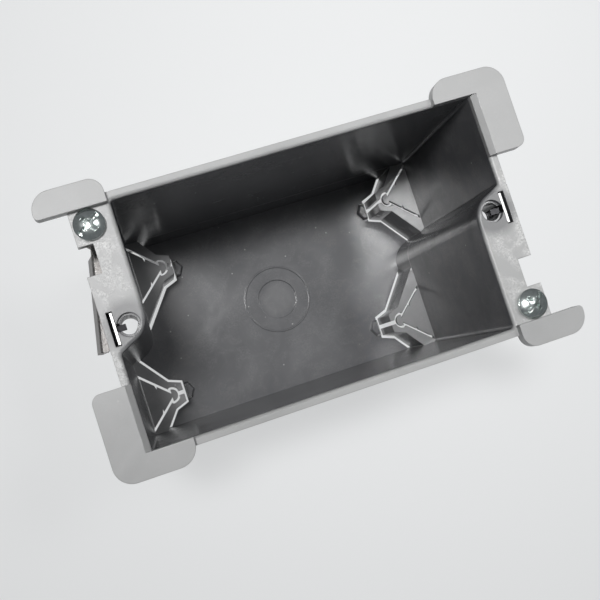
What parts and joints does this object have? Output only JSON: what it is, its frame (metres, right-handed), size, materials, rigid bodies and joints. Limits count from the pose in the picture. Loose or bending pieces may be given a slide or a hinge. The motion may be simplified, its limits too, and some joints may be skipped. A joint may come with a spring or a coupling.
{
  "type": "old-work switch box",
  "caption": "Cut-in plastic switch box with ears, swing-out panel clamps, snap-in device clips and moulded cable clamps in its back corners.",
  "frame": {"origin": "centre of the back's outer face, at the base of the part's bounding box", "axes": "+X along the box's long side, +Y across it, +Z out of the mouth towards the panel's face"},
  "size_m": [0.1072, 0.0628, 0.0728],
  "materials": {
    "box_plastic": "moulded grey thermoplastic, satin",
    "screw_steel": "zinc-plated steel",
    "wing_steel": "zinc-plated sheet steel, stamped",
    "clip_steel": "spring steel, bright"
  },
  "bodies": {
    "box": {"box_body": "box_plastic", "device_clip_left": "clip_steel", "device_clip_right": "clip_steel"},
    "screw_left": {"swing_screw_left": "screw_steel"},
    "screw_right": {"swing_screw_right": "screw_steel"},
    "wing_left": {"swing_wing_left": "wing_steel"},
    "wing_right": {"swing_wing_right": "wing_steel"},
    "tongue_upper_right": {"clamp_tongue_upper_right": "box_plastic"},
    "tongue_lower_right": {"clamp_tongue_lower_right": "box_plastic"},
    "tongue_lower_left": {"clamp_tongue_lower_left": "box_plastic"},
    "tongue_upper_left": {"clamp_tongue_upper_left": "box_plastic"}
  },
  "joints": [
    {"name": "swing_screw_left", "type": "hinge", "parent": "box", "child": "screw_left", "pos_m": [-0.0433, 0.0223, 0.0708], "axis": [0, 0, 1], "range_deg": [-80, 0]},
    {"name": "wing_travel_left", "type": "slide", "parent": "screw_left", "child": "wing_left", "axis": [0, 0, 1], "range_m": [-0.022, 0.0025]},
    {"name": "swing_screw_right", "type": "hinge", "parent": "box", "child": "screw_right", "pos_m": [0.0433, -0.0223, 0.0708], "axis": [0, 0, 1], "range_deg": [-80, 0]},
    {"name": "wing_travel_right", "type": "slide", "parent": "screw_right", "child": "wing_right", "axis": [0, 0, 1], "range_m": [-0.022, 0.0025]},
    {"name": "clamp_hinge_upper_right", "type": "hinge", "parent": "box", "child": "tongue_upper_right", "pos_m": [0.04392, 0.01685, 0.0144], "axis": [0, 1, 0], "range_deg": [0, 30], "stiffness_Nm_per_rad": 0.05},
    {"name": "clamp_hinge_lower_right", "type": "hinge", "parent": "box", "child": "tongue_lower_right", "pos_m": [0.03667, -0.01685, 0.0144], "axis": [0, 1, 0], "range_deg": [0, 30], "stiffness_Nm_per_rad": 0.05},
    {"name": "clamp_hinge_lower_left", "type": "hinge", "parent": "box", "child": "tongue_lower_left", "pos_m": [-0.04392, -0.01685, 0.0144], "axis": [0, -1, 0], "range_deg": [0, 30], "stiffness_Nm_per_rad": 0.05},
    {"name": "clamp_hinge_upper_left", "type": "hinge", "parent": "box", "child": "tongue_upper_left", "pos_m": [-0.03667, 0.01685, 0.0144], "axis": [0, -1, 0], "range_deg": [0, 30], "stiffness_Nm_per_rad": 0.05}
  ]
}
